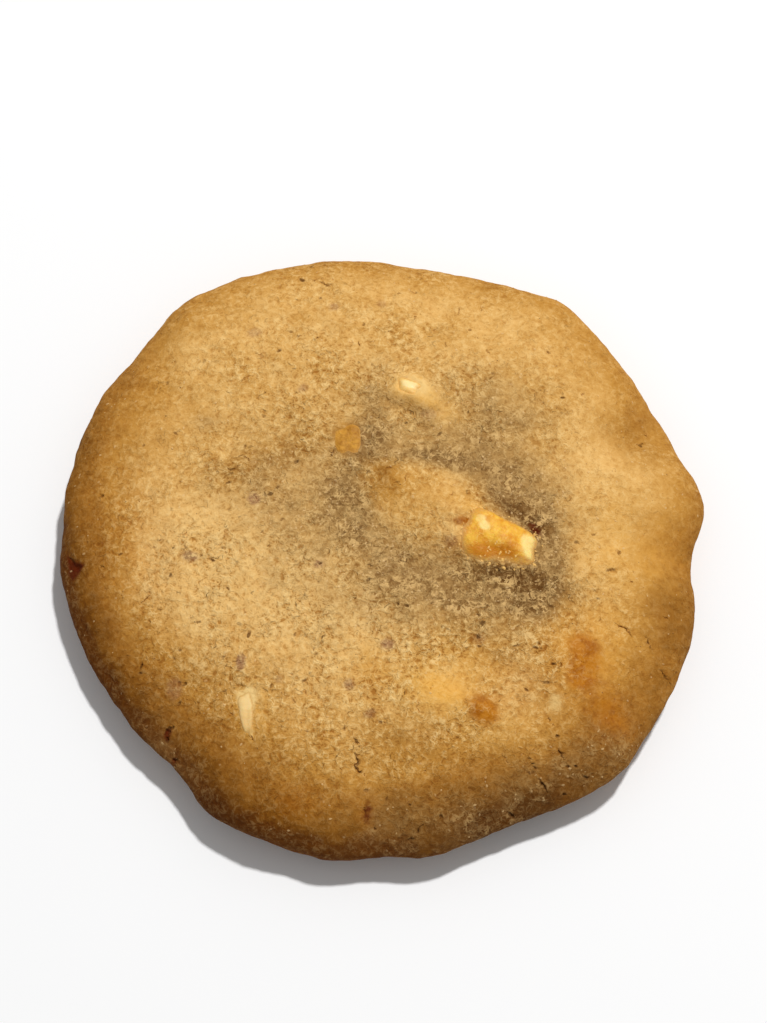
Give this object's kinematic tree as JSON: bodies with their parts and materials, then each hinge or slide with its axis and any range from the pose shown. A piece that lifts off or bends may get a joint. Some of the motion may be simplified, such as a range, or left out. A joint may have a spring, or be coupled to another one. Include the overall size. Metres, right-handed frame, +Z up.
{
  "type": "speculoos cookie",
  "caption": "Large round soft-baked spiced cookie with chunks of white chocolate and toffee set into its uneven, finely cracked top.",
  "frame": {"origin": "centre of the flat base that the cookie rests on", "axes": "+Z up through the thickness; +X to the right along the widest way; +Y to the back"},
  "size_m": [0.0899, 0.0883, 0.0151],
  "materials": {
    "baked_dough": "baked cookie dough: matt, finely cracked golden tan crust, browner at the rim and greyer round the middle",
    "caramelised_chocolate": "white chocolate baked to a waxy amber, with a pale end",
    "white_chocolate": "soft satin white chocolate, pale cream yellow",
    "toffee": "toffee melted flush with the crust, ridged and softly glossy"
  },
  "bodies": {
    "root": {"dough": "baked_dough", "white_chocolate_chunk": "caramelised_chocolate", "white_chocolate_chip": "white_chocolate", "toffee_bit": "toffee", "white_chocolate_flake": "white_chocolate"}
  },
  "joints": []
}
